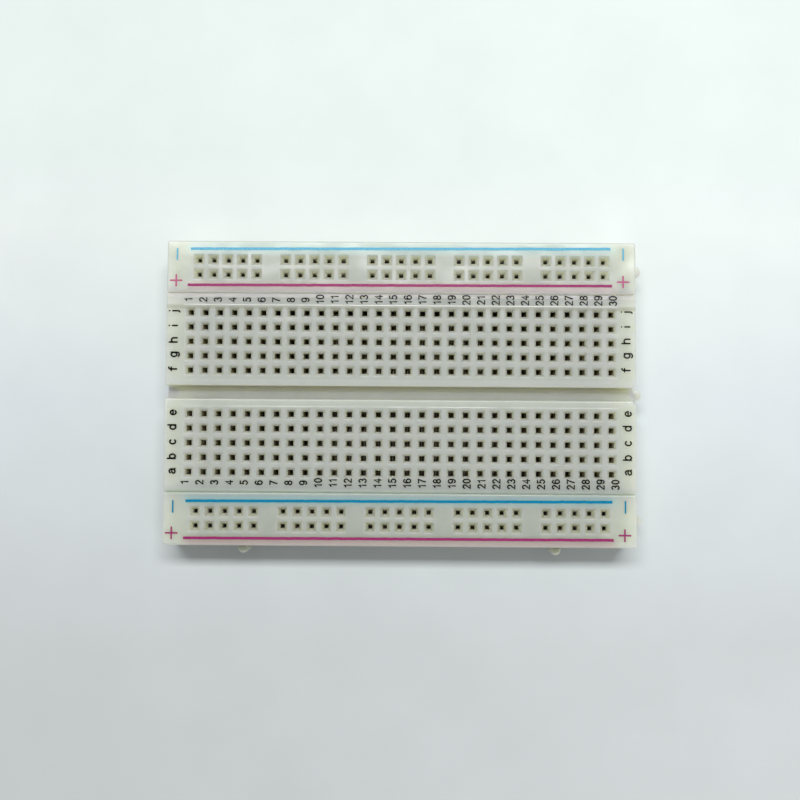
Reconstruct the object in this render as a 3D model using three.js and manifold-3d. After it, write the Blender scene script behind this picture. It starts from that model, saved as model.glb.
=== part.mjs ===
// Half-size solderless breadboard: a terminal block of 30 columns with two detachable power rails.
// Millimetres, +Z up. The origin is on the underside, below the middle of the hole grid.
// X runs along the columns 1 to 30 and Y from row a towards row j.

import * as THREE from "three";
import { mergeGeometries, mergeVertices } from "three/addons/utils/BufferGeometryUtils.js";
import Module from "manifold-3d";

const wasm = await Module();
wasm.setup();

// Contact grid
const PITCH = 2.54;
const COLUMNS = 30;
const BANK_ROWS = 5;
const ROW_E_TO_F = 3 * PITCH;
const RAIL_GROUPS = 5;
const RAIL_GROUP_HOLES = 5;

// Mouldings
const BLOCK_LENGTH = 82.1;
const BLOCK_HEIGHT = 8.5;
const TERMINAL_WIDTH = 34.75;
const RAIL_WIDTH = 9.1;
const JOINT_GAP = 0.1;
const SKIN = 1.6; // top wall over the clip cavities
const SOCKET = 0.95; // side of a square contact hole
const LEAD_IN = 1.5; // side of the funnel's square mouth
const LEAD_IN_DEPTH = 0.55;
const CAVITY_WIDTH = 1.9;
const CAVITY_END = 1.25; // cavity past its last contact
const PARTITION_RECESS = 0.4; // the walls between cavities stop short of the underside by this
const TRENCH_WIDTH = 2.3;
const TRENCH_DEPTH = 2.6;
const TRENCH_FLARE = 0.75; // corner cut on each side of the trench beside the peg

// Round pegs and keyholes that join the mouldings
const PEG_RADIUS = 0.93;
const PEG_OFFSET = 0.7; // the peg's axis stands this far outside its face
const PEG_HEIGHT = 5.2;
const PEG_SPREAD = 27.5; // from the middle to each peg of a long side
const KEYHOLE_CLEARANCE = 0.08; // around the peg
const KEYHOLE_HEIGHT = 5.4;
const ROUND_SIDES = 12;

// Backing
const LINER = 0.15;
const FOAM = 0.95;
const FOAM_INSET = 0.4;
const NOTCH_CLEARANCE = 0.3; // around a peg that rises past the backing's edge

// Spring clips: half widths and heights of the folded strip's section
const STRIP = 0.22; // sheet thickness
const CLIP_HALF = 0.78; // half width at the base
const PINCH_HALF = 0.12; // half of the gap where the leaves meet the lead
const MOUTH_HALF = 0.45; // half of the flared mouth's gap
const SHOULDER_HEIGHT = 1.1;
const PINCH_HEIGHT = 5.2;
const CLIP_HEIGHT = 6.3;
const CLIP_END = 1.1; // strip past its last contact
const TIE_WIDTH = 2.0; // strip that ties two neighbouring clips

const UNDERSIDE = LINER + FOAM;
const TOP = UNDERSIDE + BLOCK_HEIGHT;
const RAIL_CENTRE = TERMINAL_WIDTH / 2 + JOINT_GAP + RAIL_WIDTH / 2;
const FIRST_COLUMN = (-(COLUMNS - 1) * PITCH) / 2;
const BANK_CENTRE = ROW_E_TO_F / 2 + ((BANK_ROWS - 1) * PITCH) / 2;
const RAIL_STEPS = RAIL_GROUPS * (RAIL_GROUP_HOLES + 1) - 2; // pitches from the first contact to the last
const CUT_MARGIN = 1; // how far a cutting solid runs past the face that it opens

const plastic = new THREE.MeshStandardMaterial({ color: 0xd9dbd0, roughness: 0.35, metalness: 0 });
const nickel = new THREE.MeshStandardMaterial({ color: 0xb9b3a4, roughness: 0.3, metalness: 1 });
const foamTape = new THREE.MeshStandardMaterial({ color: 0xe6e4da, roughness: 0.95, metalness: 0 });
const waxedPaper = new THREE.MeshStandardMaterial({ color: 0xefe3c0, roughness: 0.5, metalness: 0 });

// ---------------------------------------------------------------- solids

function solidOf(geometry) {
  const bare = geometry.clone();
  bare.deleteAttribute("normal");
  bare.deleteAttribute("uv");
  const merged = mergeVertices(bare);
  return new wasm.Manifold(
    new wasm.Mesh({
      numProp: 3,
      vertProperties: new Float32Array(merged.attributes.position.array),
      triVerts: new Uint32Array(merged.index.array),
    }),
  );
}

function geometryOf(solid) {
  const made = solid.getMesh();
  const geometry = new THREE.BufferGeometry();
  geometry.setAttribute("position", new THREE.BufferAttribute(made.vertProperties, 3));
  geometry.setIndex(new THREE.BufferAttribute(made.triVerts, 1));
  geometry.computeVertexNormals();
  return geometry;
}

// Upright prisms between two heights, one for each outline in outlines.
function prisms(outlines, low, high) {
  const shapes = outlines.map((points) => new THREE.Shape(points.map(([x, y]) => new THREE.Vector2(x, y))));
  const geometry = new THREE.ExtrudeGeometry(shapes, { depth: high - low, bevelEnabled: false });
  return solidOf(geometry.translate(0, 0, low));
}

function rectangle(x, y, width, depth) {
  const [w, d] = [width / 2, depth / 2];
  return [
    [x - w, y - d],
    [x + w, y - d],
    [x + w, y + d],
    [x - w, y + d],
  ];
}

function circle(x, y, radius) {
  return Array.from({ length: ROUND_SIDES }, (_, i) => {
    const angle = ((i + 0.5) * 2 * Math.PI) / ROUND_SIDES;
    return [x + radius * Math.cos(angle), y + radius * Math.sin(angle)];
  });
}

// ---------------------------------------------------------------- contact places

const columnXs = Array.from({ length: COLUMNS }, (_, i) => FIRST_COLUMN + i * PITCH);
const bankRows = Array.from({ length: BANK_ROWS }, (_, i) => (i - (BANK_ROWS - 1) / 2) * PITCH);
const railXs = Array.from({ length: RAIL_STEPS + 1 }, (_, i) => i)
  .filter((i) => i % (RAIL_GROUP_HOLES + 1) !== RAIL_GROUP_HOLES)
  .map((i) => (i - RAIL_STEPS / 2) * PITCH);
const BANKS = { a_e: -BANK_CENTRE, f_j: BANK_CENTRE };
const RAIL_ROWS = { minus: PITCH / 2, plus: -PITCH / 2 };

// ---------------------------------------------------------------- mouldings

// Pegs stand on the right and front faces, and keyholes open on the left and rear ones,
// so that each moulding takes the next one.
function jointPlaces(width) {
  const peg = { x: BLOCK_LENGTH / 2 + PEG_OFFSET, y: width / 2 + PEG_OFFSET };
  const keyhole = { x: peg.x - 2 * PEG_OFFSET + JOINT_GAP, y: peg.y - 2 * PEG_OFFSET + JOINT_GAP };
  return {
    pegs: [
      [peg.x, 0],
      [-PEG_SPREAD, -peg.y],
      [PEG_SPREAD, -peg.y],
    ],
    keyholes: [
      [-keyhole.x, 0],
      [-PEG_SPREAD, keyhole.y],
      [PEG_SPREAD, keyhole.y],
    ],
  };
}

function mouldingBlank(width) {
  const { pegs, keyholes } = jointPlaces(width);
  const pegOutlines = pegs.map(([x, y]) => circle(x, y, PEG_RADIUS));
  const keyholeOutlines = keyholes.map(([x, y]) => circle(x, y, PEG_RADIUS + KEYHOLE_CLEARANCE));
  return prisms([rectangle(0, 0, BLOCK_LENGTH, width)], UNDERSIDE, TOP)
    .add(prisms(pegOutlines, UNDERSIDE, UNDERSIDE + PEG_HEIGHT))
    .subtract(prisms(keyholeOutlines, UNDERSIDE - CUT_MARGIN, UNDERSIDE + KEYHOLE_HEIGHT));
}

// Square funnels, whose slopes run on a little past the top face and into the holes below them.
function leadIns(places) {
  const slope = (LEAD_IN - SOCKET) / LEAD_IN_DEPTH;
  const overrun = 0.1;
  const mouth = (LEAD_IN + slope * overrun) / Math.SQRT2;
  const throat = (SOCKET - slope * overrun) / Math.SQRT2;
  const funnel = new THREE.CylinderGeometry(mouth, throat, LEAD_IN_DEPTH + 2 * overrun, 4)
    .rotateY(Math.PI / 4)
    .rotateX(Math.PI / 2)
    .translate(0, 0, TOP - LEAD_IN_DEPTH / 2);
  return solidOf(mergeGeometries(places.map(([x, y]) => funnel.clone().translate(x, y, 0))));
}

function sockets(places) {
  const outlines = places.map(([x, y]) => rectangle(x, y, SOCKET, SOCKET));
  return prisms(outlines, TOP - SKIN - CUT_MARGIN, TOP + CUT_MARGIN).add(leadIns(places));
}

// The trench between rows e and f. Its corners are cut away beside the right-hand peg.
function trench() {
  const [half, end] = [TRENCH_WIDTH / 2, BLOCK_LENGTH / 2];
  const wide = half + TRENCH_FLARE;
  const outline = [
    [-end - CUT_MARGIN, -half],
    [end - TRENCH_FLARE, -half],
    [end, -wide],
    [end + CUT_MARGIN, -wide],
    [end + CUT_MARGIN, wide],
    [end, wide],
    [end - TRENCH_FLARE, half],
    [-end - CUT_MARGIN, half],
  ];
  return prisms([outline], TOP - TRENCH_DEPTH, TOP + CUT_MARGIN);
}

function terminalBlock() {
  const cavityLength = (BANK_ROWS - 1) * PITCH + 2 * CAVITY_END;
  const bankLength = (COLUMNS - 1) * PITCH + CAVITY_WIDTH;
  const centres = Object.values(BANKS);
  const cavities = centres.flatMap((y) => columnXs.map((x) => rectangle(x, y, CAVITY_WIDTH, cavityLength)));
  const recesses = centres.map((y) => rectangle(0, y, bankLength, cavityLength));
  const holes = centres.flatMap((y) => bankRows.flatMap((row) => columnXs.map((x) => [x, y + row])));
  return mouldingBlank(TERMINAL_WIDTH)
    .subtract(trench())
    .subtract(prisms(cavities, UNDERSIDE - CUT_MARGIN, TOP - SKIN))
    .subtract(prisms(recesses, UNDERSIDE - CUT_MARGIN, UNDERSIDE + PARTITION_RECESS))
    .subtract(sockets(holes));
}

function railBlock() {
  const cavityLength = RAIL_STEPS * PITCH + 2 * CAVITY_END;
  const rows = Object.values(RAIL_ROWS);
  const cavities = rows.map((y) => rectangle(0, y, cavityLength, CAVITY_WIDTH));
  const holes = rows.flatMap((y) => railXs.map((x) => [x, y]));
  return mouldingBlank(RAIL_WIDTH)
    .subtract(prisms(cavities, UNDERSIDE - CUT_MARGIN, TOP - SKIN))
    .subtract(sockets(holes));
}

// ---------------------------------------------------------------- spring clips

// Section of the folded strip: a flat base, two leaves that lean together to the pinch, and a flared mouth.
function clipSection() {
  const outer = [
    [CLIP_HALF, 0],
    [CLIP_HALF, SHOULDER_HEIGHT],
    [PINCH_HALF + STRIP, PINCH_HEIGHT],
    [MOUTH_HALF + STRIP, CLIP_HEIGHT],
  ];
  const inner = [
    [MOUTH_HALF, CLIP_HEIGHT],
    [PINCH_HALF, PINCH_HEIGHT],
    [CLIP_HALF - STRIP, SHOULDER_HEIGHT],
    [CLIP_HALF - STRIP, STRIP],
  ];
  const right = [...outer, ...inner];
  const left = right.map(([u, z]) => [-u, z]).reverse();
  return new THREE.Shape([...right, ...left].map(([u, z]) => new THREE.Vector2(u, z)));
}

// A clip along Y, with its base on z = 0 and its middle over the origin.
function clipAlongY(length) {
  const geometry = new THREE.ExtrudeGeometry(clipSection(), { depth: length, bevelEnabled: false });
  return geometry.rotateX(Math.PI / 2).translate(0, length / 2, 0);
}

// Two neighbouring column clips, tied between their bases by a short piece of strip.
function clipPair() {
  const length = (BANK_ROWS - 1) * PITCH + 2 * CLIP_END;
  const single = clipAlongY(length);
  const left = solidOf(single.clone().translate(-PITCH / 2, 0, 0));
  const right = solidOf(single.clone().translate(PITCH / 2, 0, 0));
  const tie = prisms([rectangle(0, 0, PITCH, TIE_WIDTH)], 0, STRIP);
  return geometryOf(left.add(right).add(tie));
}

function busClip() {
  const length = RAIL_STEPS * PITCH + 2 * CLIP_END;
  return geometryOf(solidOf(clipAlongY(length).rotateZ(Math.PI / 2)));
}

// ---------------------------------------------------------------- assembly

function piece(name, geometry, material, x = 0, y = 0, z = 0) {
  const mesh = new THREE.Mesh(geometry, material);
  mesh.name = name;
  mesh.position.set(x, y, z);
  return mesh;
}

// A flat sheet under a moulding, notched where a neighbour's pegs pass it.
function sheet(width, low, thickness) {
  const outline = rectangle(0, 0, BLOCK_LENGTH - 2 * FOAM_INSET, width - 2 * FOAM_INSET);
  const { keyholes } = jointPlaces(width);
  const notches = keyholes.map(([x, y]) => circle(x, y, PEG_RADIUS + NOTCH_CLEARANCE));
  const cut = prisms(notches, low - CUT_MARGIN, low + thickness + CUT_MARGIN);
  return geometryOf(prisms([outline], low, low + thickness).subtract(cut));
}

function backing(module, width) {
  return [
    piece(`${module}_foam_pad`, sheet(width, LINER, FOAM), foamTape),
    piece(`${module}_release_liner`, sheet(width, 0, LINER), waxedPaper),
  ];
}

function terminalModule() {
  const group = new THREE.Group();
  const pair = clipPair();
  group.add(piece("terminal_block", geometryOf(terminalBlock()), plastic));
  group.add(...backing("terminal", TERMINAL_WIDTH));
  for (const [bank, y] of Object.entries(BANKS)) {
    for (let column = 1; column < COLUMNS; column += 2) {
      const numbers = [column, column + 1].map((n) => String(n).padStart(2, "0")).join("_");
      const x = (columnXs[column - 1] + columnXs[column]) / 2;
      group.add(piece(`clips_${bank}_${numbers}`, pair, nickel, x, y, UNDERSIDE));
    }
  }
  return group;
}

function railModule(side, y) {
  const group = new THREE.Group();
  const clip = busClip();
  group.position.y = y;
  group.add(piece(`${side}_rail_block`, geometryOf(railBlock()), plastic));
  group.add(...backing(`${side}_rail`, RAIL_WIDTH));
  for (const [polarity, row] of Object.entries(RAIL_ROWS)) {
    group.add(piece(`${side}_rail_${polarity}_bus_clip`, clip, nickel, 0, row, UNDERSIDE));
  }
  return group;
}

const breadboard = new THREE.Group();
breadboard.add(terminalModule());
breadboard.add(railModule("upper", RAIL_CENTRE));
breadboard.add(railModule("lower", -RAIL_CENTRE));

export default breadboard;
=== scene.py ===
import math

import bmesh
import bpy
from mathutils import Matrix, Vector, noise
from mathutils.geometry import delaunay_2d_cdt


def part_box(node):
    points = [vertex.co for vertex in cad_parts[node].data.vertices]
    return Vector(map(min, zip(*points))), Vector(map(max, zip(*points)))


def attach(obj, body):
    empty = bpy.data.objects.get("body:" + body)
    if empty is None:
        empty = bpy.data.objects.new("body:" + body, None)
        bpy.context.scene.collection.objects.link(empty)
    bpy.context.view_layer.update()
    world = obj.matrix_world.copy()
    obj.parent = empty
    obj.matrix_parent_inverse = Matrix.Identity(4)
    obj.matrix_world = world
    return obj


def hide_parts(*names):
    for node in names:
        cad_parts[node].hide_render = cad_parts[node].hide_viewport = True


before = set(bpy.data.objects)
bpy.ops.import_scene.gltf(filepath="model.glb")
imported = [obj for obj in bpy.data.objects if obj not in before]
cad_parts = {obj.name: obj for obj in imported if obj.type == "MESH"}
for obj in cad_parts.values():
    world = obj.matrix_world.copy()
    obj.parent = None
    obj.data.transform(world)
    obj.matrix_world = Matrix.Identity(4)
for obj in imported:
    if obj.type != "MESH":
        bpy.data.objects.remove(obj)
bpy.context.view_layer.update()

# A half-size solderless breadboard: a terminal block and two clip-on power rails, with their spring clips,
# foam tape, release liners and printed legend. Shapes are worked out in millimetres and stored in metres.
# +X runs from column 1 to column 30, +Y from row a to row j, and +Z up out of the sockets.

MM = 0.001


def node_box(name):
    """Lowest and highest corner of a CAD node, in millimetres."""
    low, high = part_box(name)
    return low / MM, high / MM


# ---------------------------------------------------------------- dimensions, in millimetres

PITCH = 2.54
COLUMNS = 30
BANK_ROWS = 5
BANK_CENTRE = 3.5 * PITCH
RAIL_ROW = PITCH / 2
COLUMN_XS = [(i - (COLUMNS - 1) / 2) * PITCH for i in range(COLUMNS)]
ROW_OFFSETS = [(i - (BANK_ROWS - 1) / 2) * PITCH for i in range(BANK_ROWS)]
RAIL_STEPS = 28
RAIL_XS = [(i - RAIL_STEPS / 2) * PITCH for i in range(RAIL_STEPS + 1) if i % 6 != 5]

# Each moulding is grown by SNUG on every side, so that the joints between them are hairlines.
SNUG = 0.042
UNDERSIDE = node_box("terminal_block")[0].z
TOP = node_box("terminal_block")[1].z
HALF_LENGTH = SNUG - node_box("terminal_block")[0].x
TERMINAL_HALF = SNUG + node_box("terminal_block")[1].y
RAIL_REAR = node_box("upper_rail_block")[1].y
RAIL_FRONT = -node_box("lower_rail_block")[1].y
RAIL_CENTRE = (RAIL_REAR + RAIL_FRONT) / 2
RAIL_HALF = SNUG + RAIL_REAR - RAIL_CENTRE

CORNER = 0.4
EDGE = 0.25
HOLD = 0.03
CAVITY_WIDTH = 1.9
CAVITY_END = 1.25
TRENCH_HALF = 1.15
TRENCH_DEPTH = 2.6
TRENCH_FLARE = 0.75
INSERT_REACH_X = 1.3
INSERT_REACH_Y = 1.4
INSERT_STEP = 0.016
INSERT_SLOPE = 0.1

PEG_RADIUS = 0.93
PEG_OFFSET = 0.7 - SNUG
PEG_HEIGHT = 5.2
PEG_SPREAD = 27.5
KEYHOLE_RADIUS = 1.01
KEYHOLE_OFFSET = 0.6 + SNUG
KEYHOLE_HEIGHT = 5.4
FOAM_INSET = 0.4

STRIP = 0.22
CLIP_END = 1.1
LEAF_HALF = 0.98

INK = 0.016

# Faces that meet at more than this many degrees keep a sharp edge.
SMOOTH_ANGLE = 35


# ---------------------------------------------------------------- outlines


def outline(corners, inset=0.0, steps=4):
    """Anticlockwise points of the polygon through corners (x, y, radius), moved in by inset and rounded."""
    points = []
    for i, (x, y, radius) in enumerate(corners):
        here = Vector((x, y))
        before, after = (Vector(corners[k % len(corners)][:2]) for k in (i - 1, i + 1))
        arriving, leaving = (here - before).normalized(), (after - here).normalized()
        inward_a, inward_b = Vector((-arriving.y, arriving.x)), Vector((-leaving.y, leaving.x))
        share = 1 + inward_a.dot(inward_b)
        corner = here + inset * (inward_a + inward_b) / share
        if radius == 0:
            points.append(tuple(corner))
            continue
        r = max(radius - inset, 0.05)
        centre = corner + r * (inward_a + inward_b) / share
        start = math.atan2(-inward_a.y, -inward_a.x)
        turn = math.atan2(arriving.cross(leaving), arriving.dot(leaving))
        for k in range(steps + 1):
            angle = start + turn * k / steps
            points.append((centre.x + r * math.cos(angle), centre.y + r * math.sin(angle)))
    return points


def rectangle(x, y, half_x, half_y, radius=0.0):
    return [
        (x - half_x, y - half_y, radius),
        (x + half_x, y - half_y, radius),
        (x + half_x, y + half_y, radius),
        (x - half_x, y + half_y, radius),
    ]


def circle(x, y, radius, sides=28):
    turn = 2 * math.pi / sides
    return [(x + radius * math.cos(i * turn), y + radius * math.sin(i * turn)) for i in range(sides)]


# ---------------------------------------------------------------- meshes


class Shell:
    """Collects faces in millimetres and turns them into one mesh object."""

    def __init__(self):
        self.points = []
        self.faces = []
        self.inside = []

    def ring(self, points, z):
        start = len(self.points)
        self.points += [(x, y, z) for x, y in points]
        return list(range(start, start + len(points)))

    def bridge(self, low, high):
        """Quads between two closed rings."""
        for i in range(len(low)):
            j = (i + 1) % len(low)
            self.faces.append((low[i], low[j], high[j], high[i]))

    def stack(self, rings):
        """Bridges a list of (points, z) in turn."""
        made = [self.ring(points, z) for points, z in rings]
        for low, high in zip(made, made[1:]):
            self.bridge(low, high)

    def fill(self, z, outer, holes=()):
        """A flat face inside outer, with holes left open."""
        loops = [outer, *holes]
        points, sides = [], []
        for loop in loops:
            sides.append(list(range(len(points), len(points) + len(loop))))
            points += [Vector(p) for p in loop]
        places, _, faces, _, _, loops_around = delaunay_2d_cdt(points, [], sides, 1, 1e-6)
        start = len(self.points)
        self.points += [(p.x, p.y, z) for p in places]
        self.faces += [tuple(start + i for i in f) for f, around in zip(faces, loops_around) if around == [0]]

    def object(self, name, material):
        mesh = bpy.data.meshes.new(name)
        mesh.from_pydata([Vector(p) * MM for p in self.points], [], self.faces)
        for start, end in self.inside:
            for face in mesh.polygons[start:end]:
                face.material_index = 1
        bm = bmesh.new()
        bm.from_mesh(mesh)
        bmesh.ops.remove_doubles(bm, verts=bm.verts, dist=1e-7)
        bmesh.ops.recalc_face_normals(bm, faces=bm.faces)
        bm.to_mesh(mesh)
        bm.free()
        return finished(name, mesh, material)


def finished(name, mesh, material):
    """One object from a mesh whose faces name their material by its place in the tuple material."""
    mesh.shade_smooth()
    mesh.set_sharp_from_angle(angle=math.radians(SMOOTH_ANGLE))
    indices = [face.material_index for face in mesh.polygons]
    mesh.materials.clear()
    for own in material if isinstance(material, tuple) else (material,):
        mesh.materials.append(own)
    mesh.polygons.foreach_set("material_index", indices)
    piece = bpy.data.objects.new(name, mesh)
    bpy.context.scene.collection.objects.link(piece)
    weighted = piece.modifiers.new("weighted normals", "WEIGHTED_NORMAL")
    weighted.keep_sharp = True
    return piece


def baked(piece):
    """Applies a piece's modifiers to its mesh."""
    graph = bpy.context.evaluated_depsgraph_get()
    mesh = bpy.data.meshes.new_from_object(piece.evaluated_get(graph))
    piece.modifiers.clear()
    piece.data = mesh
    return mesh


# ---------------------------------------------------------------- materials


def srgb(red, green, blue):
    def linear(value):
        value /= 255
        return value / 12.92 if value <= 0.04045 else ((value + 0.055) / 1.055) ** 2.4

    return (linear(red), linear(green), linear(blue), 1.0)


class Nodes:
    """A Principled material, and short calls for the nodes that feed it."""

    def __init__(self, name):
        self.material = bpy.data.materials.new(name)
        self.material.use_nodes = True
        self.tree = self.material.node_tree
        self.shader = self.tree.nodes["Principled BSDF"]
        self.place = self.add("ShaderNodeTexCoord").outputs["Object"]

    def add(self, kind):
        return self.tree.nodes.new(kind)

    def link(self, source, target):
        self.tree.links.new(source, target)

    def scaled(self, x, y, z):
        node = self.add("ShaderNodeMapping")
        node.inputs["Scale"].default_value = (x, y, z)
        self.link(self.place, node.inputs["Vector"])
        return node.outputs["Vector"]

    def noise(self, scale, detail=3.0, roughness=0.55, vector=None):
        node = self.add("ShaderNodeTexNoise")
        node.inputs["Scale"].default_value = scale
        node.inputs["Detail"].default_value = detail
        node.inputs["Roughness"].default_value = roughness
        self.link(vector or self.place, node.inputs["Vector"])
        return node.outputs["Fac"]

    def cells(self, scale):
        node = self.add("ShaderNodeTexVoronoi")
        node.inputs["Scale"].default_value = scale
        self.link(self.place, node.inputs["Vector"])
        return node.outputs["Distance"]

    def spread(self, value, low, high, to_low, to_high):
        node = self.add("ShaderNodeMapRange")
        self.link(value, node.inputs["Value"])
        for key, number in (("From Min", low), ("From Max", high), ("To Min", to_low), ("To Max", to_high)):
            node.inputs[key].default_value = number
        return node.outputs["Result"]

    def ramp(self, value, stops):
        node = self.add("ShaderNodeValToRGB")
        self.link(value, node.inputs["Fac"])
        while len(node.color_ramp.elements) < len(stops):
            node.color_ramp.elements.new(0.5)
        for element, (position, colour) in zip(node.color_ramp.elements, stops):
            element.position = position
            element.color = colour
        return node.outputs["Color"]

    def mix(self, amount, first, second, blend="MIX"):
        node = self.add("ShaderNodeMix")
        node.data_type = "RGBA"
        node.blend_type = blend
        for key, value in (("Factor", amount), ("A", first), ("B", second)):
            sockets = [s for s in node.inputs if s.name == key and (key == "Factor" or s.type == "RGBA")]
            if isinstance(value, bpy.types.NodeSocket):
                self.link(value, sockets[0])
            else:
                sockets[0].default_value = value
        return next(s for s in node.outputs if s.type == "RGBA")

    def math(self, operation, first, second=0.0):
        node = self.add("ShaderNodeMath")
        node.operation = operation
        for socket, value in zip(node.inputs, (first, second)):
            if isinstance(value, bpy.types.NodeSocket):
                self.link(value, socket)
            else:
                socket.default_value = value
        return node.outputs["Value"]

    def axis(self, name):
        node = self.add("ShaderNodeSeparateXYZ")
        self.link(self.place, node.inputs["Vector"])
        return node.outputs[name]

    def bump(self, height, strength, distance):
        node = self.add("ShaderNodeBump")
        node.inputs["Strength"].default_value = strength
        node.inputs["Distance"].default_value = distance
        self.link(height, node.inputs["Height"])
        self.link(node.outputs["Normal"], self.shader.inputs["Normal"])

    def finish(self, colour=None, roughness=None, **constants):
        for key, value in (("Base Color", colour), ("Roughness", roughness)):
            if isinstance(value, bpy.types.NodeSocket):
                self.link(value, self.shader.inputs[key])
            elif value is not None:
                self.shader.inputs[key].default_value = value
        for key, value in constants.items():
            self.shader.inputs[key.replace("_", " ")].default_value = value
        return self.material


def moulded_plastic(name, inside=False):
    """Off-white translucent plastic, mottled, with painted light and shade for the light that passes through
    it: darker over the clips, lighter and yellower at the solid ends, a warm glow below the top face that is
    lighter in the rails' funnels, and shade towards the front. Painted glare, highlights and light lie in
    bands along X, tinted beside the printed lines.
    Inside the cavities, where no light comes through, it is painted darker, as painted shade."""
    n = Nodes(name)
    mottle = n.noise(420, 4)
    # Painted light and shade: darker over the clips and lighter at the solid ends, for light that passes
    # through the plastic.
    body = n.ramp(mottle, [(0.3, srgb(187, 193, 181)), (0.7, srgb(193, 199, 188))])
    ends = n.ramp(mottle, [(0.3, srgb(210, 216, 200)), (0.7, srgb(216, 222, 207))])
    # Painted shade: darker towards the front of the lower rail.
    body = n.mix(1.0, body, n.spread(n.axis("Y"), -0.027, -0.017, 0.88, 1.0), "MULTIPLY")
    from_middle = n.math("ABSOLUTE", n.axis("X"))
    colour = n.mix(n.spread(from_middle, 0.034, 0.0405, 0.0, 1.0), body, ends)
    at_top = n.spread(n.axis("Z"), (TOP - 0.7) * MM, (TOP - 0.15) * MM, 0.0, 1.0)
    beside_lines = n.math("MULTIPLY", at_top, n.spread(from_middle, 0.0362, 0.0384, 1.0, 0.0))
    # Bands along X: where in Y, how far they reach, how strong, their colour, and where they show.
    # Painted light and shade, in bands along X: where in Y, how far they reach, how strong, their colour, and
    # where they show. Beside the printed lines: painted glare and light tinted by the ink, and at -26 painted
    # shade by the front edge, tinted pink. At the joints: painted highlights on the edges (16.97, -17.35) and
    # painted light over the upper groove's shade (17.45). Beside the trench: painted light from its lit walls
    # (+-1.9). A darker band just inside the far field's edge (14.95). In the trench: painted light over the
    # floor's shadow (0.8).
    for y, reach, strength, painted_tint, along in (
        (18.5, 1.3, 0.6, srgb(242, 208, 200), beside_lines),
        (-26.0, 1.4, 0.65, srgb(192, 166, 167), beside_lines),
        (25.3, 1.5, 0.55, srgb(196, 236, 234), beside_lines),
        (-18.6, 1.3, 0.6, srgb(164, 224, 216), beside_lines),
        (16.97, 0.36, 1.0, srgb(255, 254, 214), at_top),
        (17.45, 0.4, 0.85, srgb(255, 250, 218), at_top),
        (-17.35, 0.7, 0.5, srgb(220, 250, 208), at_top),
        (-1.9, 0.7, 0.12, srgb(216, 224, 220), 1.0),
        (1.9, 0.7, 0.3, srgb(216, 224, 216), 1.0),
        (14.95, 0.5, 0.55, srgb(166, 168, 148), at_top),
        (0.8, 0.8, 1.0, srgb(228, 231, 216), 1.0),
    ):
        distance = n.math("ABSOLUTE", n.math("SUBTRACT", n.axis("Y"), y * MM))
        near = n.spread(distance, min(0.2, reach / 2) * MM, reach * MM, strength, 0.0)
        colour = n.mix(n.math("MULTIPLY", near, along), colour, painted_tint)
    # Painted glow: below the top face and down towards the trench floor the colour is painted warmer, and in
    # the rails' funnels lighter, for light that passes through the plastic.
    below_lip = n.spread(n.axis("Z"), (TOP - 0.4) * MM, (TOP - 0.04) * MM, 1.0, 0.0)
    above_floor = n.spread(n.axis("Z"), (TOP - 2.5) * MM, (TOP - 1.2) * MM, 0.45, 1.0)
    from_trench = n.math("ABSOLUTE", n.axis("Y"))
    from_rail = n.math("ABSOLUTE", n.math("SUBTRACT", from_trench, RAIL_CENTRE * MM))
    short_of_end = n.spread(from_middle, 0.0385, 0.0395, 1.0, 0.0)
    in_rail = n.math("MULTIPLY", n.spread(from_rail, 0.0033, 0.0036, 1.0, 0.0), short_of_end)
    painted_lift = n.math("MULTIPLY", in_rail, n.spread(n.axis("Y"), -0.001, 0.001, 0.12, 0.25))
    painted_glow = n.mix(1.0, colour, srgb(252, 247, 236), "MULTIPLY")
    painted_glow = n.mix(1.0, painted_glow, n.math("ADD", painted_lift, 1.0), "MULTIPLY")
    colour = n.mix(n.math("MULTIPLY", below_lip, above_floor), colour, painted_glow)
    # Painted shade: the cavities' plastic is painted darker.
    if inside:
        colour = n.mix(1.0, colour, srgb(136, 124, 104), "MULTIPLY")
    grain = n.noise(4200, 2, 0.6)
    swell = n.noise(170, 1, 0.4)
    height = n.math("ADD", n.math("MULTIPLY", grain, 0.006), swell)
    n.bump(height, 1.0, 0.00018)
    rough = n.spread(n.noise(900, 3), 0.3, 0.7, 0.16, 0.24)
    scatter = {"Subsurface_Weight": 1.0, "Subsurface_Scale": 0.006, "Subsurface_Radius": (1.0, 1.0, 0.7)}
    return n.finish(colour, rough, IOR=1.53, **scatter)


def sprung_metal():
    """Nickel-plated spring strip with fine rolling marks along it."""
    n = Nodes("sprung_metal")
    rolled = n.noise(900, 3, 0.6, n.scaled(6.0, 0.6, 6.0))
    colour = n.ramp(rolled, [(0.3, srgb(196, 190, 176)), (0.7, srgb(226, 221, 208))])
    n.bump(rolled, 0.2, 0.00003)
    return n.finish(colour, n.spread(rolled, 0.3, 0.7, 0.22, 0.38), Metallic=1.0)


def foam_tape():
    """Closed-cell foam: pale, with open bubbles where it was cut."""
    n = Nodes("foam_tape")
    bubbles = n.cells(3600)
    colour = n.ramp(bubbles, [(0.0, srgb(196, 194, 184)), (0.45, srgb(232, 231, 224))])
    n.bump(bubbles, 0.7, 0.0002)
    return n.finish(colour, 0.92)


def waxed_paper():
    """Release liner: smooth yellowish paper with faint fibres."""
    n = Nodes("waxed_paper")
    fibres = n.noise(700, 5, 0.7, n.scaled(1.0, 4.0, 1.0))
    colour = n.ramp(fibres, [(0.35, srgb(232, 219, 182)), (0.65, srgb(243, 234, 205))])
    n.bump(fibres, 0.25, 0.00004)
    return n.finish(colour, n.spread(fibres, 0.3, 0.7, 0.42, 0.55))


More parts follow.
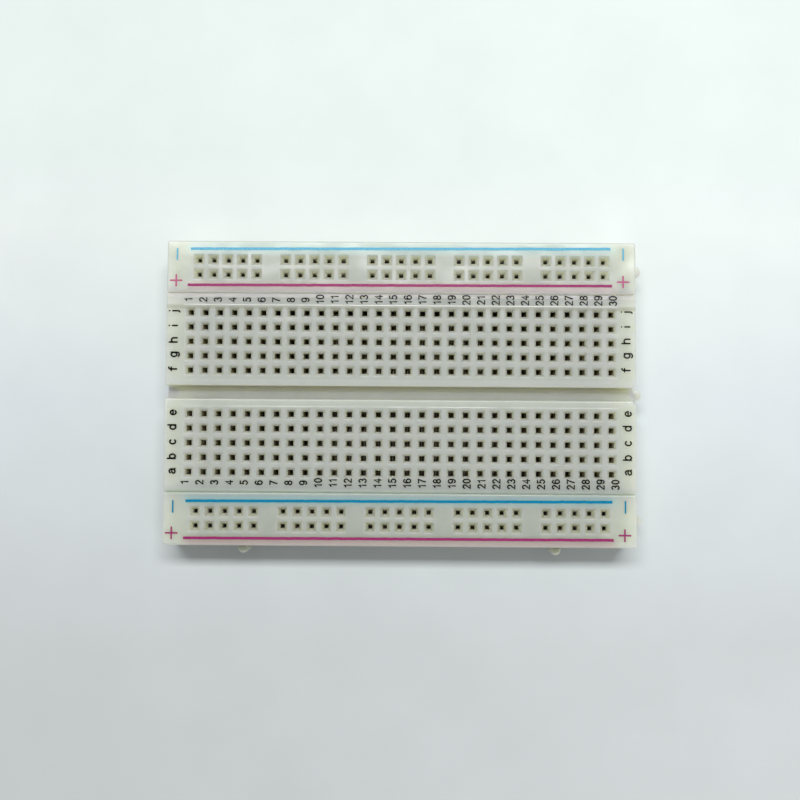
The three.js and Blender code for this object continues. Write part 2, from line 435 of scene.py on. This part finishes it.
def printed_ink(name, thin, thick, shine=0.25):
    """Pad-printed ink, a little uneven."""
    n = Nodes(name)
    cover = n.noise(2600, 4, 0.65)
    n.bump(cover, 0.3, 0.00003)
    colour = n.ramp(cover, [(0.32, thin), (0.6, thick)])
    return n.finish(colour, n.spread(cover, 0.3, 0.7, 0.36, 0.5), Specular_IOR_Level=shine)


def table_top():
    """The pale table under the object, with painted light: brighter at the far side, brightest a little
    behind the board, and brighter to the right.
    """
    n = Nodes("pale_table")
    # Painted light: brighter towards the far side and brightest a little behind the board.
    far = n.spread(n.axis("Y"), -0.045, 0.045, 0.0, 1.0)
    near_half = [(0.0, srgb(210, 216, 217)), (0.5, srgb(227, 235, 238))]
    far_half = [(0.85, srgb(243, 251, 249)), (1.0, srgb(239, 250, 247))]
    shade = n.ramp(far, near_half + far_half)
    # Painted light: brighter to the right.
    right = n.spread(n.axis("X"), -0.05, 0.05, 0.97, 1.02)
    paper = n.ramp(n.noise(60, 3), [(0.3, srgb(250, 250, 250)), (0.7, srgb(255, 255, 255))])
    shade = n.mix(1.0, shade, paper, "MULTIPLY")
    return n.finish(n.mix(1.0, shade, right, "MULTIPLY"), 0.7)


PLASTIC = moulded_plastic("moulded_plastic")
# The cavities' plastic, painted darker as painted shade.
SHADED_CAVITY_PLASTIC = moulded_plastic("moulded_plastic_inside_shaded", True)
METAL = sprung_metal()
FOAM = foam_tape()
LINER = waxed_paper()
BLUE = printed_ink("blue_ink", srgb(2, 144, 182), srgb(0, 122, 164), 0.08)
PALE_BLUE = printed_ink("pale_blue_ink", srgb(112, 194, 224), srgb(84, 176, 212))
PINK = printed_ink("pink_ink", srgb(200, 98, 146), srgb(184, 74, 124))
MAGENTA = printed_ink("magenta_ink", srgb(166, 52, 118), srgb(148, 26, 98))
BLACK = printed_ink("black_ink", srgb(34, 36, 30), srgb(12, 13, 10), 0.12)


# ---------------------------------------------------------------- mouldings


def notch(centre, offset, radius, outward, travel, steps):
    """A round notch's wall, from one side of its mouth to the other. Its centre is offset inside the face."""
    mouth = math.acos(offset / radius)
    sweep = 2 * (math.pi - mouth)
    arc = []
    for k in range(steps + 1):
        angle = -mouth - sweep * k / steps
        along, across = radius * math.cos(angle), radius * math.sin(angle)
        arc.append(tuple(c + along * o + across * t for c, o, t in zip(centre, outward, travel)))
    return arc


def keyholes(half_width, middle):
    """Every keyhole's wall, in the order that an anticlockwise walk round the moulding meets them."""
    rear = middle + half_width - KEYHOLE_OFFSET
    return [
        notch(centre, KEYHOLE_OFFSET, KEYHOLE_RADIUS, outward, travel, 14)
        for centre, outward, travel in (
            ((PEG_SPREAD, rear), (0, 1), (-1, 0)),
            ((-PEG_SPREAD, rear), (0, 1), (-1, 0)),
            ((-HALF_LENGTH + KEYHOLE_OFFSET, middle), (-1, 0), (0, -1)),
        )
    ]


def wall_corners(half_width, middle, arcs, whole_arcs, right_marks=(), left_marks=()):
    """The moulding's outline. With whole_arcs it dips into the keyholes, or else it passes their mouths."""
    sharp = [[(x, y, 0) for x, y in (arc if whole_arcs else (arc[0], arc[-1]))] for arc in arcs]
    front, rear = middle - half_width, middle + half_width
    return [
        (-HALF_LENGTH, front, CORNER),
        (HALF_LENGTH, front, CORNER),
        *[(HALF_LENGTH, y, 0) for y in right_marks],
        (HALF_LENGTH, rear, CORNER),
        *sharp[0],
        *sharp[1],
        (-HALF_LENGTH, rear, CORNER),
        *[(-HALF_LENGTH, y, 0) for y in left_marks if y > middle],
        *sharp[2],
        *[(-HALF_LENGTH, y, 0) for y in left_marks if y < middle],
    ]


def rounded_top(shell, corners, low, holes, funnel, field=None):
    """Walls from low to a rounded top edge, and the top face with its sockets. A field is a hair proud."""
    face = TOP - (INSERT_STEP if field else 0)
    curve = [k / 4 * math.pi / 2 for k in range(5)]
    rings = [(outline(corners), low)]
    for a in curve:
        rings.append((outline(corners, EDGE * (1 - math.cos(a))), face - EDGE * (1 - math.sin(a))))
    rings.append((outline(corners, EDGE + HOLD), face))
    shell.stack(rings)
    around = rings[-1][0]
    if field:
        steps = [(-HOLD, face), (0.0, face), (INSERT_SLOPE, TOP), (INSERT_SLOPE + HOLD, TOP)]
        steps = [(outline(field, inset), z) for inset, z in steps]
        shell.fill(face, around, [steps[0][0]])
        shell.stack(steps)
        around = steps[-1][0]
    sockets = [funnel_rings(x, y, TOP, **funnel) for x, y in holes]
    shell.fill(TOP, around, [rings[0][0] for rings in sockets])
    for rings in sockets:
        shell.stack(rings)
    return [rings[-1][0] for rings in sockets]


def funnel_rings(x, y, face, mouth, throat, depth, skin):
    """Rings down one socket: a soft wide lip, a square funnel and the straight hole below it."""
    profile = [
        (mouth + HOLD, 0.0, 0.2),
        (mouth, 0.0, 0.17),
        (mouth - 0.03, 0.008, 0.16),
        (mouth - 0.1, 0.045, 0.15),
        (mouth - 0.17, 0.11, 0.13),
        (throat + 0.03, depth - 0.03, 0.09),
        (throat, depth + 0.05, 0.08),
    ]
    rings = [(outline(rectangle(x, y, half, half, r), steps=2), face - down) for half, down, r in profile]
    return [*rings, (rings[-1][0], TOP - skin)]


def cavity(shell, x, y, half_x, half_y, holes, skin):
    """A clip's cavity: its ceiling, which the sockets come through, and its walls."""
    ring = outline(rectangle(x, y, half_x, half_y))
    start = len(shell.faces)
    shell.fill(TOP - skin, ring, holes)
    shell.stack([(ring, TOP - skin), (ring, UNDERSIDE)])
    shell.inside.append((start, len(shell.faces)))
    return ring


def pegs(shell, half_width, middle):
    """Round pegs on the right and front faces, each with a rounded top edge."""
    soft = 0.22
    front = middle - half_width - PEG_OFFSET
    places = [(HALF_LENGTH + PEG_OFFSET, middle), (-PEG_SPREAD, front), (PEG_SPREAD, front)]
    for x, y in places:
        rings = [(circle(x, y, PEG_RADIUS), UNDERSIDE)]
        for k in range(5):
            angle = k / 4 * math.pi / 2
            inset = soft * (1 - math.cos(angle))
            height = UNDERSIDE + PEG_HEIGHT - soft * (1 - math.sin(angle))
            rings.append((circle(x, y, PEG_RADIUS - inset), height))
        shell.stack(rings)
        shell.fill(rings[-1][1], rings[-1][0])
        shell.fill(UNDERSIDE, rings[0][0])


def lower_walls(shell, corners_with, corners_without, arcs, cavities, high):
    """Walls up to high, with the keyholes, their ceilings and the underside."""
    ceiling = UNDERSIDE + KEYHOLE_HEIGHT
    dipped = outline(corners_with)
    plain = outline(corners_without)
    shell.fill(UNDERSIDE, dipped, cavities)
    shell.stack([(dipped, UNDERSIDE), (dipped, ceiling)])
    for arc in arcs:
        shell.fill(ceiling, arc)
    shell.stack([(plain, ceiling), (plain, high)])


TERMINAL_FUNNEL = {"mouth": 0.97, "throat": 0.46, "depth": 0.45, "skin": 1.6}
RAIL_FUNNEL = {"mouth": 1.02, "throat": 0.36, "depth": 0.85, "skin": 2.1}


def terminal_block():
    shell = Shell()
    floor = TOP - TRENCH_DEPTH
    flare = TRENCH_HALF + TRENCH_FLARE
    arcs = keyholes(TERMINAL_HALF, 0)
    marks = {"right_marks": (-flare, flare), "left_marks": (TRENCH_HALF, -TRENCH_HALF)}
    with_arcs = wall_corners(TERMINAL_HALF, 0, arcs, True, **marks)
    without = wall_corners(TERMINAL_HALF, 0, arcs, False, **marks)
    mouths = [[(x, y, 0) for x, y in (arc[0], arc[-1])] for arc in arcs]
    trench_side = [
        (-HALF_LENGTH, TRENCH_HALF, 0),
        (HALF_LENGTH - TRENCH_FLARE, TRENCH_HALF, 0),
        (HALF_LENGTH, flare, 0),
    ]
    mirrored = [(x, -y, 0) for x, y, _ in reversed(trench_side)]
    right_rear, left_rear = (HALF_LENGTH, TERMINAL_HALF, CORNER), (-HALF_LENGTH, TERMINAL_HALF, CORNER)
    far = [*trench_side, right_rear, *mouths[0], *mouths[1], left_rear]
    near = [(-HALF_LENGTH, -TERMINAL_HALF, CORNER), (HALF_LENGTH, -TERMINAL_HALF, CORNER), *mirrored]
    strip = [(x, y) for x, y, _ in [*reversed(mouths[2]), *mirrored[::-1], *trench_side[::-1]]]
    cavities = []
    half_field = (COLUMN_XS[-1] + INSERT_REACH_X, ROW_OFFSETS[-1] + INSERT_REACH_Y)
    half_cavity = (CAVITY_WIDTH / 2, ROW_OFFSETS[-1] + CAVITY_END)
    for corners, centre in ((far, BANK_CENTRE), (near, -BANK_CENTRE)):
        field = rectangle(0, centre, *half_field, 0.3)
        holes = [(x, centre + row) for x in COLUMN_XS for row in ROW_OFFSETS]
        throats = rounded_top(shell, corners, floor, holes, TERMINAL_FUNNEL, field)
        for i, x in enumerate(COLUMN_XS):
            own = throats[i * BANK_ROWS : (i + 1) * BANK_ROWS]
            cavities.append(cavity(shell, x, centre, *half_cavity, own, TERMINAL_FUNNEL["skin"]))
    lower_walls(shell, with_arcs, without, arcs, cavities, floor)
    shell.fill(floor, strip)
    pegs(shell, TERMINAL_HALF, 0)
    return shell.object("terminal_moulding", (PLASTIC, SHADED_CAVITY_PLASTIC))


def rail_block(side, middle):
    shell = Shell()
    arcs = keyholes(RAIL_HALF, middle)
    with_arcs = wall_corners(RAIL_HALF, middle, arcs, True)
    without = wall_corners(RAIL_HALF, middle, arcs, False)
    low = UNDERSIDE + KEYHOLE_HEIGHT + 0.5
    rows = (middle - RAIL_ROW, middle + RAIL_ROW)
    holes = [(x, y) for y in rows for x in RAIL_XS]
    throats = rounded_top(shell, without, low, holes, RAIL_FUNNEL)
    half_cavity = (RAIL_XS[-1] + CAVITY_END, CAVITY_WIDTH / 2)
    cavities = []
    for i, y in enumerate(rows):
        own = throats[i * len(RAIL_XS) : (i + 1) * len(RAIL_XS)]
        cavities.append(cavity(shell, 0, y, *half_cavity, own, RAIL_FUNNEL["skin"]))
    lower_walls(shell, with_arcs, without, arcs, cavities, low)
    pegs(shell, RAIL_HALF, middle)
    return shell.object(f"{side}_rail_moulding", (PLASTIC, SHADED_CAVITY_PLASTIC))


def mouldings():
    sides = (("upper", RAIL_CENTRE), ("lower", -RAIL_CENTRE))
    made = [(terminal_block(), "terminal_strip", "terminal_block")]
    made += [(rail_block(side, y), f"{side}_rail", f"{side}_rail_block") for side, y in sides]
    for piece, body, node in made:
        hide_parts(node)
        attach(piece, body)


# ---------------------------------------------------------------- spring clips

# Half of a clip's folded section, from the middle of its base to the tip of one leaf: (out, up).
CLIP_SECTION = [
    (0.0, 0.11),
    (0.48, 0.11),
    (0.6, 0.145),
    (0.66, 0.26),
    (0.67, 0.6),
    (0.67, 1.1),
    (0.62, 1.6),
    (0.5, 2.8),
    (0.36, 4.0),
    (0.24, 4.9),
    (0.215, 5.2),
    (0.26, 5.45),
    (0.4, 5.85),
    (0.54, 6.12),
    (0.66, 6.22),
]
LEAF_START = 5


def clip_mesh(name, half_length, contacts):
    """A folded strip along Y: one base with a pair of leaves at each contact. Its base stands on z = 0."""
    edges = sorted({-half_length, half_length, *[c + s * LEAF_HALF for c in contacts for s in (-1, 1)]})
    leaves = {round(c - LEAF_HALF, 4) for c in contacts}
    section = [(-u, z) for u, z in reversed(CLIP_SECTION[1:])] + CLIP_SECTION
    middle = len(CLIP_SECTION) - 1
    bm = bmesh.new()
    grid = [[bm.verts.new(Vector((u, y, z)) * MM) for u, z in section] for y in edges]
    for row, (a, b) in enumerate(zip(grid, grid[1:])):
        leaf = round(edges[row], 4) in leaves
        for i in range(len(section) - 1):
            if leaf or abs(i + 0.5 - middle) < LEAF_START:
                bm.faces.new((a[i], a[i + 1], b[i + 1], b[i]))
    loose = [v for v in bm.verts if not v.link_faces]
    bmesh.ops.delete(bm, geom=loose, context="VERTS")
    bmesh.ops.recalc_face_normals(bm, faces=bm.faces)
    mesh = bpy.data.meshes.new(name)
    bm.to_mesh(mesh)
    bm.free()
    holder = bpy.data.objects.new(name, mesh)
    bpy.context.scene.collection.objects.link(holder)
    solid = holder.modifiers.new("sheet", "SOLIDIFY")
    solid.thickness = STRIP * MM
    solid.offset = 0
    bevel = holder.modifiers.new("edges", "BEVEL")
    bevel.width = 0.035 * MM
    bevel.segments = 2
    bevel.angle_limit = math.radians(50)
    mesh = baked(holder)
    mesh.name = name
    bpy.data.objects.remove(holder)
    mesh.materials.append(METAL)
    mesh.shade_smooth()
    mesh.set_sharp_from_angle(angle=math.radians(40))
    return mesh


def place(name, mesh, location, body, nodes, turn=0.0):
    piece = bpy.data.objects.new(name, mesh)
    bpy.context.scene.collection.objects.link(piece)
    piece.matrix_world = Matrix.Translation(Vector(location) * MM) @ Matrix.Rotation(turn, 4, "Z")
    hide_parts(*nodes)
    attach(piece, body)
    return piece


def clips():
    column_clip = clip_mesh("column_clip", ROW_OFFSETS[-1] + CLIP_END, ROW_OFFSETS)
    bus_clip = clip_mesh("bus_clip", RAIL_XS[-1] + CLIP_END, RAIL_XS)
    for bank, y in (("a_e", -BANK_CENTRE), ("f_j", BANK_CENTRE)):
        for i, x in enumerate(COLUMN_XS):
            first = i + 1 - i % 2
            node = f"clips_{bank}_{first:02d}_{first + 1:02d}"
            name = f"column_clip_{bank}_{i + 1:02d}"
            place(name, column_clip, (x, y, UNDERSIDE), "terminal_strip", [node])
    for side, middle in (("upper", RAIL_CENTRE), ("lower", -RAIL_CENTRE)):
        for polarity, y in (("minus", middle + RAIL_ROW), ("plus", middle - RAIL_ROW)):
            node = f"{side}_rail_{polarity}_bus_clip"
            name = f"{side}_{polarity}_bus_strip"
            place(name, bus_clip, (0, y, UNDERSIDE), f"{side}_rail", [node], math.pi / 2)


# ---------------------------------------------------------------- foam tape and liners


def notched(low, high, middle, roughness):
    """The outline of a backing sheet between two corners, notched at the keyholes and cut unevenly."""
    reach = PEG_RADIUS + 0.3
    cuts = []
    offset = KEYHOLE_OFFSET - SNUG - FOAM_INSET
    for arc_x, arc_y, outward, travel in (
        (PEG_SPREAD, high.y, (0, 1), (-1, 0)),
        (-PEG_SPREAD, high.y, (0, 1), (-1, 0)),
        (low.x, middle, (-1, 0), (0, -1)),
    ):
        centre = (arc_x - outward[0] * offset, arc_y - outward[1] * offset)
        cuts.append(notch(centre, offset, reach, outward, travel, 12))
    path = [(low.x, low.y), (high.x, low.y), (high.x, high.y), *cuts[0], *cuts[1], (low.x, high.y), *cuts[2]]
    fine = []
    for (x0, y0), (x1, y1) in zip(path, path[1:] + path[:1]):
        steps = max(1, round(math.dist((x0, y0), (x1, y1)) / 0.7))
        fine += [(x0 + (x1 - x0) * k / steps, y0 + (y1 - y0) * k / steps) for k in range(steps)]
    uneven = [(roughness * noise.noise((x, y, 3.0)), roughness * noise.noise((y, x, 7.0))) for x, y in fine]
    return [(x + dx, y + dy) for (x, y), (dx, dy) in zip(fine, uneven)]


def sheet_piece(name, node, middle, material, edge, roughness):
    """A flat backing sheet that fills its CAD node's box, with softened edges."""
    low, high = node_box(node)
    shell = Shell()
    path = notched(low, high, middle, roughness)

    def drawn_in(amount):
        return [(x - math.copysign(amount, x), y - math.copysign(amount, y - middle)) for x, y in path]

    rings = [
        (drawn_in(edge), low.z),
        (path, low.z + edge),
        (path, high.z - edge),
        (drawn_in(edge), high.z),
    ]
    shell.stack(rings)
    shell.fill(low.z, rings[0][0])
    shell.fill(high.z, rings[-1][0])
    return shell.object(name, material)


def backing():
    modules = (
        ("terminal", "terminal_strip", 0),
        ("upper_rail", "upper_rail", RAIL_CENTRE),
        ("lower_rail", "lower_rail", -RAIL_CENTRE),
    )
    for module, body, middle in modules:
        foam = sheet_piece(f"{module}_foam_tape", f"{module}_foam_pad", middle, FOAM, 0.06, 0.12)
        liner = sheet_piece(f"{module}_paper_liner", f"{module}_release_liner", middle, LINER, 0.02, 0.03)
        for piece, node, slot in ((foam, "foam_pad", "foam_tape"), (liner, "release_liner", "liner_paper")):
            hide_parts(f"{module}_{node}")
            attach(piece, body)


# ---------------------------------------------------------------- printed legend


def bow(x, y, reach_x, reach_y, start, end):
    """Points of an elliptical arc between two angles in degrees."""
    steps = max(2, round(abs(end - start) / 20))
    angles = [math.radians(start + (end - start) * k / steps) for k in range(steps + 1)]
    return [(x + reach_x * math.cos(a), y + reach_y * math.sin(a)) for a in angles]


# The strokes of each character, right and up from its lower left corner. Digits and ascenders are 1 high.
SIX = [*bow(0.26, 0.6, 0.25, 0.4, 38, 180), *bow(0.26, 0.31, 0.25, 0.31, 180, 540)]
GLYPHS = {
    "0": [bow(0.25, 0.5, 0.25, 0.5, 90, 450)],
    "1": [[(0.04, 0.76), (0.17, 0.84), (0.28, 1.0), (0.28, 0.0)]],
    "2": [[*bow(0.245, 0.73, 0.235, 0.27, 170, -28), (0.0, 0.0), (0.5, 0.0)]],
    "3": [bow(0.235, 0.75, 0.215, 0.25, 155, -80), bow(0.235, 0.26, 0.255, 0.26, 80, -155)],
    "4": [[(0.37, 0.0), (0.37, 1.0), (0.0, 0.3), (0.52, 0.3)]],
    "5": [[(0.46, 1.0), (0.1, 1.0), (0.06, 0.54), *bow(0.235, 0.32, 0.26, 0.32, 130, -150)]],
    "6": [SIX],
    "7": [[(0.0, 1.0), (0.5, 1.0), (0.33, 0.6), (0.2, 0.25), (0.16, 0.0)]],
    "8": [bow(0.25, 0.755, 0.21, 0.245, 90, 450), bow(0.25, 0.255, 0.25, 0.255, 90, 450)],
    "9": [[(0.52 - x, 1 - y) for x, y in SIX]],
    "a": [
        [*bow(0.28, 0.5, 0.25, 0.22, 155, 0), (0.53, 0.08), (0.6, 0.0)],
        [(0.53, 0.42), (0.3, 0.41), *bow(0.24, 0.2, 0.22, 0.2, 90, 270), (0.38, 0.02), (0.53, 0.16)],
    ],
    "b": [[(0.03, 1.0), (0.03, 0.0)], bow(0.3, 0.36, 0.27, 0.36, 180, 540)],
    "c": [bow(0.3, 0.36, 0.28, 0.36, 42, 318)],
    "d": [[(0.57, 1.0), (0.57, 0.0)], bow(0.3, 0.36, 0.27, 0.36, 0, 360)],
    "e": [[(0.03, 0.38), (0.59, 0.38), *bow(0.31, 0.36, 0.28, 0.36, 12, 316)]],
    "f": [[(0.2, 0.0), (0.2, 0.76), *bow(0.4, 0.78, 0.2, 0.22, 180, 80)], [(0.02, 0.68), (0.42, 0.68)]],
    "g": [bow(0.3, 0.36, 0.27, 0.36, 0, 360), [(0.57, 0.72), *bow(0.3, -0.08, 0.27, 0.22, 0, -150)]],
    "h": [[(0.03, 1.0), (0.03, 0.0)], [(0.03, 0.36), *bow(0.3, 0.44, 0.27, 0.28, 180, 0), (0.57, 0.0)]],
    "i": [[(0.1, 0.62), (0.1, 0.0)], [(0.1, 1.02), (0.1, 1.04)]],
    "j": [[(0.2, 0.62), *bow(0.02, -0.1, 0.18, 0.18, 0, -80)], [(0.2, 1.02), (0.2, 1.04)]],
}
WIDTHS = {"1": 0.4, "i": 0.2, "j": 0.3, "f": 0.42}


class Print(Shell):
    """Ink standing a hair proud of the face at a level."""

    def __init__(self, level):
        super().__init__()
        self.level = level

    def stroke(self, path, half, soft_ends=True):
        """A closed bar of ink along a path, mitred at its corners."""
        path = [Vector(p) for p in path]
        rows = []
        for i, point in enumerate(path):
            arriving = (point - path[i - 1]).normalized() if i else None
            leaving = (path[i + 1] - point).normalized() if i + 1 < len(path) else arriving
            arriving = arriving or leaving
            mitre = min(1 / max((1 + arriving.dot(leaving)) / 2, 0.2) ** 0.5, 1.6)
            along = (arriving + leaving).normalized()
            side = Vector((-along.y, along.x)) * mitre
            rows.append((point, side, half))
            if soft_ends and i in (0, len(path) - 1):
                tip = (point + along * half * (0.8 if i else -0.8), side, half * 0.5)
                rows.insert(len(rows) if i else 0, tip)
        section = ((1.0, -INK), (0.88, INK), (-0.88, INK), (-1.0, -INK))
        start = len(self.points)
        for point, side, reach in rows:
            for across, up in section:
                x, y = point + side * reach * across
                self.points.append((x, y, self.level + up))
        for row in range(len(rows) - 1):
            a, b = start + 4 * row, start + 4 * row + 4
            self.faces += [(a + k, a + (k + 1) % 4, b + (k + 1) % 4, b + k) for k in range(4)]
        last = start + 4 * (len(rows) - 1)
        self.faces += [tuple(range(start, start + 4)), tuple(range(last + 3, last - 1, -1))]

    def text(self, words, x, y, size, thickness):
        """Characters that read towards +Y, their foot at x and their middle at y. A digit is size high."""
        scale = size - thickness
        gap = 0.08 / scale + thickness / scale
        widths = [WIDTHS.get(c, 0.5 if c.isdigit() else 0.6) for c in words]
        left = y - (sum(widths) + gap * (len(words) - 1)) * scale / 2
        for character, width in zip(words, widths):
            for path in GLYPHS[character]:
                shift = thickness / 2
                self.stroke([(x - shift - v * scale, left + u * scale) for u, v in path], thickness / 2)
            left += (width + gap) * scale

    def printed(self, name, material, body, slot):
        piece = self.object(name, material)
        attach(piece, body)
        return piece


# For each line, its two ends. For its two signs, their middles.
POLARITY = {
    ("upper", "minus"): ((-37.0, 25.17), (36.65, 25.52), ((-39.34, 24.2), (38.9, 24.56))),
    ("upper", "plus"): ((-37.45, 18.78), (36.95, 18.99), ((-39.48, 19.57), (38.87, 19.71))),
    ("lower", "minus"): ((-37.15, -18.97), (36.85, -18.7), ((-39.34, -19.97), (39.1, -19.56))),
    ("lower", "plus"): ((-37.45, -25.37), (37.05, -25.25), ((-39.52, -24.53), (38.98, -24.44))),
}
LINE_HALF = 0.25
SIGN_HALF = 1.0
SIGN_STROKE = 0.15


def polarity_marks():
    """A line and two signs for each polarity on each rail."""
    for (side, polarity), (left, right, middles) in POLARITY.items():
        ink, slot = (MAGENTA, "magenta_ink") if polarity == "plus" else (BLUE, "blue_ink")
        thin_ink = PINK if polarity == "plus" else PALE_BLUE
        if (side, polarity) == ("upper", "minus"):
            ink = thin_ink
        line = Print(TOP)
        path = [Vector(left).lerp(Vector(right), k / 120) for k in range(121)]
        line.stroke([(p.x, p.y + 0.05 * noise.noise((p.x * 0.9, p.y, 0.0))) for p in path], LINE_HALF, False)
        line.printed(f"{side}_{polarity}_line", ink, f"{side}_rail", slot)
        signs = Print(TOP)
        for x, centre in middles:
            signs.level = TOP
            signs.stroke([(x, centre - SIGN_HALF), (x, centre + SIGN_HALF)], SIGN_STROKE)
            if polarity == "plus":
                signs.level = TOP + 0.002
                signs.stroke([(x - SIGN_HALF, centre), (x + SIGN_HALF, centre)], SIGN_STROKE)
        signs.printed(f"{side}_{polarity}_signs", thin_ink if side == "upper" else ink, f"{side}_rail", slot)


def legend():
    """Column numbers beside both banks, and row letters at both ends."""
    level = TOP - INSERT_STEP / 2
    rows = (
        ("upper", 16.2, 16.37, 1.009, -0.08, 0.23),
        ("lower", -15.75, -15.7, 1.015, 0.0, 0.26),
    )
    for name, one_digit, two_digits, stretch, shift, thickness in rows:
        numbers = Print(level)
        for column, x in enumerate(COLUMN_XS, 1):
            middle = two_digits if column > 9 else one_digit
            numbers.text(str(column), x * stretch + shift + 0.74, middle, 1.48, thickness)
        numbers.printed(f"column_numbers_{name}", BLACK, "terminal_strip", "black_ink")
    ends = (
        ("left", -38.92, -0.05, 0.15, 0.31),
        ("right", 40.3, -0.15, 0.4, 0.27),
    )
    for name, x, lean, shift, thickness in ends:
        letters = Print(level)
        for i, letter in enumerate("abcdefghij"):
            bank = -BANK_CENTRE if i < BANK_ROWS else BANK_CENTRE
            foot = x + lean * (i >= BANK_ROWS)
            letters.text(letter, foot, bank + ROW_OFFSETS[i % BANK_ROWS] + shift, 1.68, thickness)
        letters.printed(f"row_letters_{name}", BLACK, "terminal_strip", "black_ink")


# ---------------------------------------------------------------- stage, lights and camera


def stage():
    mesh = bpy.data.meshes.new("floor")
    bm = bmesh.new()
    bmesh.ops.create_grid(bm, x_segments=1, y_segments=1, size=1.5)
    bm.to_mesh(mesh)
    bm.free()
    mesh.materials.append(table_top())
    floor = bpy.data.objects.new("floor", mesh)
    bpy.context.scene.collection.objects.link(floor)
    floor.location.z = -0.02 * MM


def softbox(name, direction, distance, size, watts):
    """An area light that looks at the board from a direction (tilt from vertical, compass), in degrees."""
    tilt, compass = (math.radians(a) for a in direction)
    light = bpy.data.lights.new(name, "AREA")
    light.shape = "RECTANGLE"
    light.size, light.size_y = size
    light.energy = watts
    lamp = bpy.data.objects.new(name, light)
    aim = Vector((math.sin(tilt) * math.sin(compass), math.sin(tilt) * math.cos(compass), math.cos(tilt)))
    lamp.location = aim * distance
    lamp.rotation_euler = aim.to_track_quat("Z", "Y").to_euler()
    bpy.context.scene.collection.objects.link(lamp)


def lights():
    softbox("far_window", (20.9, 0), 0.8, (0.6, 0.13), 4.7)
    softbox("near_fill", (74, 134), 0.24, (0.1, 0.06), 0.07)
    world = bpy.data.worlds.new("studio")
    world.use_nodes = True
    background = world.node_tree.nodes["Background"]
    background.inputs["Color"].default_value = (1.0, 1.0, 1.0, 1.0)
    background.inputs["Strength"].default_value = 0.305
    bpy.context.scene.world = world


def camera():
    lens = bpy.data.cameras.new("camera")
    lens.sensor_width = 36
    lens.lens = 45
    lens.clip_start = 0.01
    view = bpy.data.objects.new("camera", lens)
    tilt, lean, turn = (math.radians(a) for a in (3.038, 0.312, 0.385))
    spin = Matrix.Rotation(tilt, 4, "X") @ Matrix.Rotation(lean, 4, "Y") @ Matrix.Rotation(turn, 4, "Z")
    view.matrix_world = Matrix.Translation(Vector((0.898, -10.454, TOP + 173.97)) * MM) @ spin
    bpy.context.scene.collection.objects.link(view)
    bpy.context.scene.camera = view
    bpy.context.scene.view_settings.view_transform = "Standard"


mouldings()
clips()
backing()
polarity_marks()
legend()
stage()
lights()
camera()
